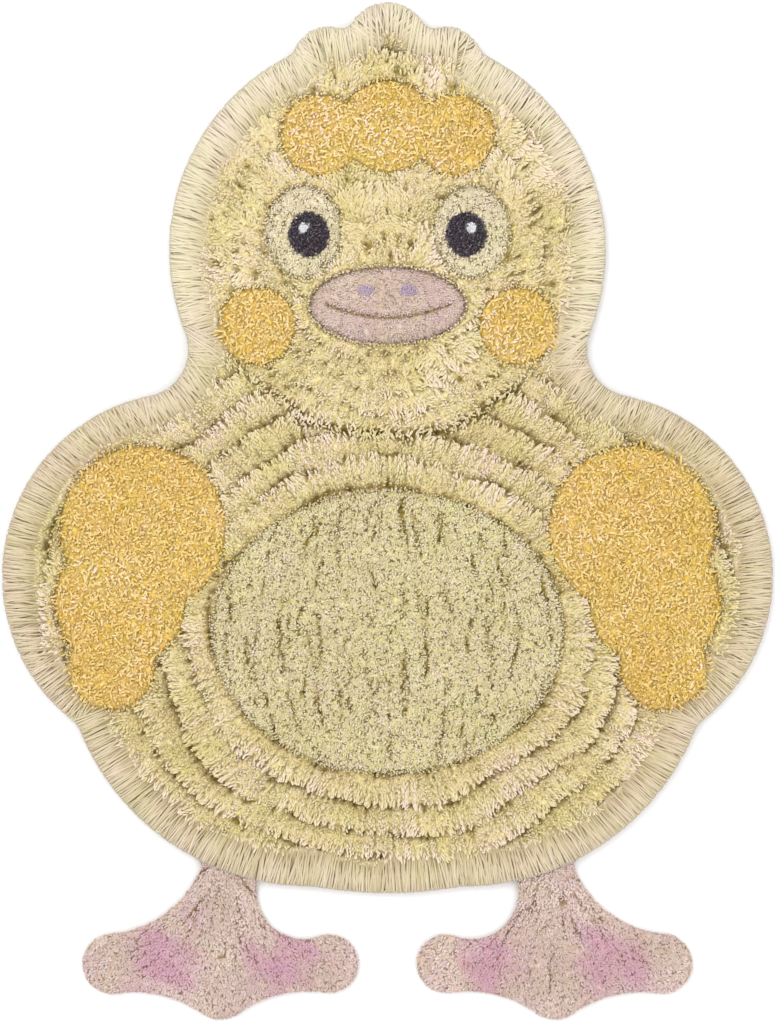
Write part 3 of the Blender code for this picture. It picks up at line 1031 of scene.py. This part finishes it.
def make_shag():
    own = np.random.default_rng(21)
    root = keep(lattice(0.00336, 0.42, 22), "shag")
    c = comb(root)
    # the parting below a row stays open
    stays = (c["phase"] > 0.10 * np.clip(c["strength"], 0, 1)) | (own.random(len(root)) < 0.25)
    stays |= short_pile(root) > -0.0110
    stays &= own.random(len(root)) > np.maximum(0.75 * c["hole"], 0.45 * chin(root))
    root = root[stays]
    c = {key: value[stays] for key, value in c.items()}
    n = len(root)
    phase, strength, row, bundle = c["phase"], c["strength"], c["row"], c["index"]
    uneven = dice(bundle, row, 1) - 0.5
    calm = np.clip(0.35 + 0.9 * waves(41, 0.15)(root) + 1.2 * (root[:, 1] - 0.36), 0, 1) * c["on_head"]
    reach = 0.0026 * calm + 0.0030 + 0.0088 * phase ** 1.6 * strength + 0.0012 * own.normal(size=n) + 0.0036 * uneven
    limit = 1.00 + 0.10 * uneven + 0.025 * own.normal(size=n) + 0.35 * (1 - np.clip(strength, 0, 1))
    reach = np.clip(np.minimum(reach, (limit - phase) * RIDGE), 0.0012, 0.0150)
    twist = 0.60 * (dice(bundle, row, 2) - 0.5) + 0.16 * (1 - 0.5 * calm) * own.normal(size=n) + 0.30 * waves(26, 0.09)(root)
    twist = twist * np.where(c["on_head"], 2.2, 1.0)
    gather = np.clip(0.58 + 0.22 * own.normal(size=n), 0, 0.9)
    lean = turned(c["way"], twist) * reach[:, None]
    # beside a carved patch the long pile leans over its edge
    patch = short_pile(root)
    beside = step(patch, -0.0075, -0.0020)[:, None]
    over = toward_patch(root) * np.clip(-patch + own.normal(0.0004, 0.0009, n), 0.0004, 0.008)[:, None]
    lean = lean * (1 - beside) + over * beside
    tip = root + lean - c["side"] * (c["off"] * gather)[:, None] * (1 - beside)
    for _ in range(3):
        over = short_pile(tip) > 0.0024
        tip[over] = root[over] + (tip[over] - root[over]) * 0.6
    far = np.linalg.norm(tip - root, axis=1)
    under, _ = ground(root)
    lift = np.where(c["on_head"], 0.0016, 0.0020) * (dice(bundle, row, 3) - 0.5)
    end = np.clip(0.0208 + 0.0036 * step(phase, 0.0, 0.7) * strength + lift + 0.0008 * (1 - 0.5 * calm) * own.normal(size=n)
                  - 0.10 * far, 0.012, 0.0300)
    end = end - 0.0030 * c["hole"] - 0.0012 * np.abs(c["off"]) / BUNDLE * 2
    knee = with_z(root + (tip - root) * 0.35, np.maximum(end + 0.0022, under + 0.003))
    paths = bent(with_z(root, under - 0.0035), with_z(tip, end), knee, 3, own.normal(0, 0.0006, (n, 3)))
    # painted light and shade: tone rises from a row's parting to its crest
    tone = np.clip(0.50 + 0.14 * (1 - 0.4 * calm) * own.normal(size=n) + 0.34 * (dice(bundle, row, 4) - 0.5)
                   + np.where(c["on_head"], 0.16, 0.50) * (phase - 0.5) + 0.25 * waves(43, 0.12)(root) + 0.03 * c["on_head"], 0, 1)
    return paths, own.normal(0.00114, 0.00013, n) * (1 + 0.20 * calm), tone


paths, radius, tone = make_shag()
height = paths[:, 0, 1]
for name, part in (("shag_head", height > 0.125), ("shag_breast", (height <= 0.125) & (height > -0.16)), ("shag_rump", height <= -0.16)):
    pieces.append(yarn_piece(name, paths[part], radius[part], tone[part], straw, (0.9, 1.0, 0.60), wide=1.22, thick=0.80, round_=0.45, dome=0.25))


# ---------------------------------------------------------------- short cut pile

def cut_pile(zone, spacing, seed, above, radius, rings, lean, tuft=(0.0064, 1.0, 1.5), gather=0.26, rough=0.0007,
             lines=None, push=None, middle=0.5, spread=0.16, jitter=0.42, inside=None, pale=0.0):
    """Short trimmed ends in tufts. lines(p) gives a sideways push and a depth where the pile parts.

    tuft: spacing of the tufts and their stretch along x and y; gather: how far the ends lean together.
    """
    own = np.random.default_rng(seed)
    root = keep(lattice(spacing, jitter, seed + 1), zone)
    n = len(root)
    under, deep = ground(root)
    stretch = np.array([tuft[1], tuft[2]])
    tufts = lattice(tuft[0], 0.45, seed + 2)
    owner = nearest(root / stretch, tufts)
    centre = tufts[owner] * stretch
    move = own.normal(0, lean, (n, 2)) + (centre - root) * gather
    batch = own.normal(size=len(tufts))[owner]
    if lines is not None:
        move = move + lines(root)[0]
    if push is not None:
        move = move + push(root)
    tip = root + move
    if inside is not None:
        for _ in range(2):
            tip = tip - inside.outwards(tip) * np.maximum(0.0014 - inside.depth(tip), 0)[:, None]
    low, _ = ground(tip)
    far = np.linalg.norm(centre - root, axis=1) / tuft[0]
    end = (low + under) / 2 + above + own.normal(0, rough, n) - 0.0022 * far ** 2 + 0.0004 * batch
    knee = with_z(root + (tip - root) * 0.30, under + above * 0.9)
    paths = bent(with_z(root, under - 0.0022), with_z(tip, end), knee, rings)
    # painted shade: ends that stand in a parting or at a tuft's edge take a darker tone
    tone = np.clip(middle + spread * own.normal(size=n) + 0.12 * batch - 0.25 * deep - 0.10 * far, 0, 1)
    tone = np.where(own.random(n) < pale, own.uniform(0.85, 1.0, n), tone)
    return paths, own.normal(radius, radius * 0.10, n), tone


def belly_push(p):
    d = in_ellipse(p, BELLY)
    return away_from(p, BELLY[1], 1.25) * (0.0008 + 0.0010 * np.sin(2 * math.pi * d / 0.046))[:, None]


paths, radius, tone = cut_pile("belly", 0.00292, 40, 0.0038, 0.00126, 2, 0.0013, (0.0066, 1.0, 1.35), 0.26, 0.0007,
                               belly_partings, belly_push, spread=0.17, pale=0.04)
pieces.append(yarn_piece("belly_pile", paths, radius, tone, belly_yarn, (0.9, 0.80)))

def gold_push(p):
    return -toward_patch(p) * np.clip(0.0050 - in_gold(p), 0, 0.0040)[:, None]


paths, radius, tone = cut_pile("gold", 0.0040, 50, 0.0042, 0.00132, 3, 0.0040, (0.0095, 1.0, 1.0), 0.40, 0.0007,
                               push=gold_push, middle=0.42, spread=0.16, pale=0.04)
tone = np.clip(tone + 0.17 * (paths[:, 0, 1] > 0.12) + 0.10 * waves(54, 0.014)(paths[:, 0, :2]), 0, 0.86)
rim = np.clip(1 - in_gold(paths[:, 0, :2]) / 0.010, 0, 1) * np.clip(0.25 + 0.6 * waves(53, 0.05)(paths[:, 0, :2]), 0, 0.6)
pieces.append(yarn_piece("golden_pile", paths, radius, tone, gold_yarn, (0.9, 1.0, 0.66), rim, wide=1.12, thick=0.85, round_=0.50, dome=0.5))

paths, radius, tone = cut_pile("cream", 0.0028, 60, 0.0037, 0.00122, 2, 0.0010, (0.0060, 1.0, 1.7), 0.25)
pieces.append(yarn_piece("cream_pile", paths, radius, tone, cream_yarn, (0.9, 0.80)))

paths, radius, tone = cut_pile("eye", 0.0024, 70, 0.0036, 0.00115, 2, 0.0010, (0.0050, 1.0, 1.3), 0.22, spread=0.25)
pieces.append(yarn_piece("eye_pile", paths, radius, tone, dark_yarn, (0.95, 0.85)))

paths, radius, tone = cut_pile("glint", 0.0019, 80, 0.0040, 0.00105, 2, 0.0003, gather=0.0, jitter=0.25)
pieces.append(yarn_piece("glint_pile", paths, radius, tone, white_yarn, (0.95, 0.9)))


# ---------------------------------------------------------------- sheared bill and feet

def bill_push(p):
    """Lying fibres, combed out to both sides and down from the middle of the bill."""
    way = np.stack([np.clip(p[:, 0] / 0.05, -1, 1) * 0.9, -0.55 + 0.8 * ((p[:, 1] + LENGTH / 2 - BILL[1]) / BILL[3])], 1)
    return unit(way) * 0.0022


paths, radius, tone = cut_pile("bill", 0.0024, 90, 0.0026, 0.00114, 2, 0.0007, (0.0054, 1.7, 1.0), 0.24, 0.0004, bill_lines, bill_push)
pieces.append(yarn_piece("bill_pile", paths, radius, tone, pink_yarn, (0.95, 0.75),
                         blush=np.clip(0.03 + 0.10 * waves(93, 0.05)(paths[:, 0, :2]), 0, 1)))
paths, radius, tone = cut_pile("nostril", 0.0019, 95, 0.0028, 0.00112, 2, 0.0004, gather=0.0, rough=0.0003, jitter=0.25)
pieces.append(yarn_piece("nostril_pile", paths, radius, tone, lilac_yarn, (0.95, 0.85)))


def foot_push(p):
    r, a, side = foot_frame(p)
    a = a + 0.5 * waves(101, 0.03)(p)
    return np.stack([side * np.sin(a), -np.cos(a)], 1) * 0.0026


paths, radius, tone = cut_pile("feet", 0.0025, 110, 0.0025, 0.00122, 2, 0.0008, (0.0054, 1.0, 1.5), 0.25, 0.0003,
                               foot_creases, foot_push, inside=whole_rug)
pieces.append(yarn_piece("feet_pile", paths, radius, tone, pink_yarn, (0.95, 0.75),
                         blush=toe_blush(paths[:, 0, :2]), wide=1.10, round_=0.75, dome=1.1))


# ---------------------------------------------------------------- canvas back and stitch bed

def flat_piece(name, points, low, high, material):
    """A flat cloth cut to an outline, as one closed mesh."""
    n = len(points)
    pts = [Vector((x, y, 0.0)) for x, y in points]
    tris = [tuple(t) for t in tessellate_polygon([pts])]
    verts = [(x, y, low) for x, y in points] + [(x, y, high) for x, y in points]
    faces = tris + [tuple(i + n for i in reversed(t)) for t in tris]
    faces += [(k, (k + 1) % n, (k + 1) % n + n, k + n) for k in range(n)]
    mesh = bpy.data.meshes.new(name)
    mesh.from_pydata(verts, [], faces)
    work = bmesh.new()
    work.from_mesh(mesh)
    bmesh.ops.recalc_face_normals(work, faces=work.faces)
    work.to_mesh(mesh)
    work.free()
    print(name, "open edges", sum(1 for k in edge_use(mesh) if k != 2))
    return shown(name, mesh, material)


canvas = woven_material("canvas", lin(222, 210, 184), lin(150, 136, 108), 0.0021)
bed_mat = woven_material("stitch_bed", lin(176, 158, 108), lin(120, 104, 66), 0.0040)

canvas_edge = outline_points(OUTLINE, 0.006, -0.0030)
backing = flat_piece("canvas_back", canvas_edge, 0.0, CANVAS, canvas)
bed = flat_piece("stitch_bed", outline_points(OUTLINE, 0.006, -0.0040), CANVAS + 0.0001, BED, bed_mat)
for piece in pieces + [backing, bed]:
    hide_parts("rug")

x, y = canvas_edge[:, 0], canvas_edge[:, 1]


# ---------------------------------------------------------------- floor, light, camera

floor_mat = bpy.data.materials.new("floor")
floor_mat.use_nodes = True
floor_shader = floor_mat.node_tree.nodes["Principled BSDF"]
floor_shader.inputs["Base Color"].default_value = (0.93, 0.93, 0.93, 1.0)
floor_shader.inputs["Roughness"].default_value = 0.9
bpy.ops.mesh.primitive_plane_add(size=12.0, location=(0, 0, -0.0006))
floor = bpy.context.object
floor.name = "floor"
floor.data.materials.append(floor_mat)

world = bpy.data.worlds.new("studio")
bpy.context.scene.world = world
world.use_nodes = True
sky = world.node_tree.nodes["Background"]
sky.inputs["Color"].default_value = (1.0, 1.0, 1.0, 1.0)
sky.inputs["Strength"].default_value = 1.08


def area_light(name, location, target, size, power, colour=(1, 1, 1)):
    lamp = bpy.data.lights.new(name, "AREA")
    lamp.shape = "SQUARE"
    lamp.size = size
    lamp.energy = power
    lamp.color = colour
    made = bpy.data.objects.new(name, lamp)
    made.location = location
    made.rotation_euler = (Vector(target) - Vector(location)).to_track_quat("-Z", "Y").to_euler()
    bpy.context.scene.collection.objects.link(made)
    return made


area_light("soft_top", (-0.9, 1.0, 3.4), (0, 0, 0), 1.8, 38.0)
area_light("soft_fill", (1.6, -1.2, 3.0), (0, 0, 0), 2.4, 18.0)

eye = bpy.data.cameras.new("camera")
eye.lens = 100.0
eye.sensor_width = 36.0
eye.sensor_fit = "AUTO"
camera = bpy.data.objects.new("camera", eye)
frame_height = 1.194
camera.location = (0.0, 0.0, 0.020 + frame_height / (36.0 / 100.0))
camera.rotation_euler = (0.0, 0.0, 0.0)
bpy.context.scene.collection.objects.link(camera)
bpy.context.scene.camera = camera
bpy.context.scene.view_settings.view_transform = "Standard"
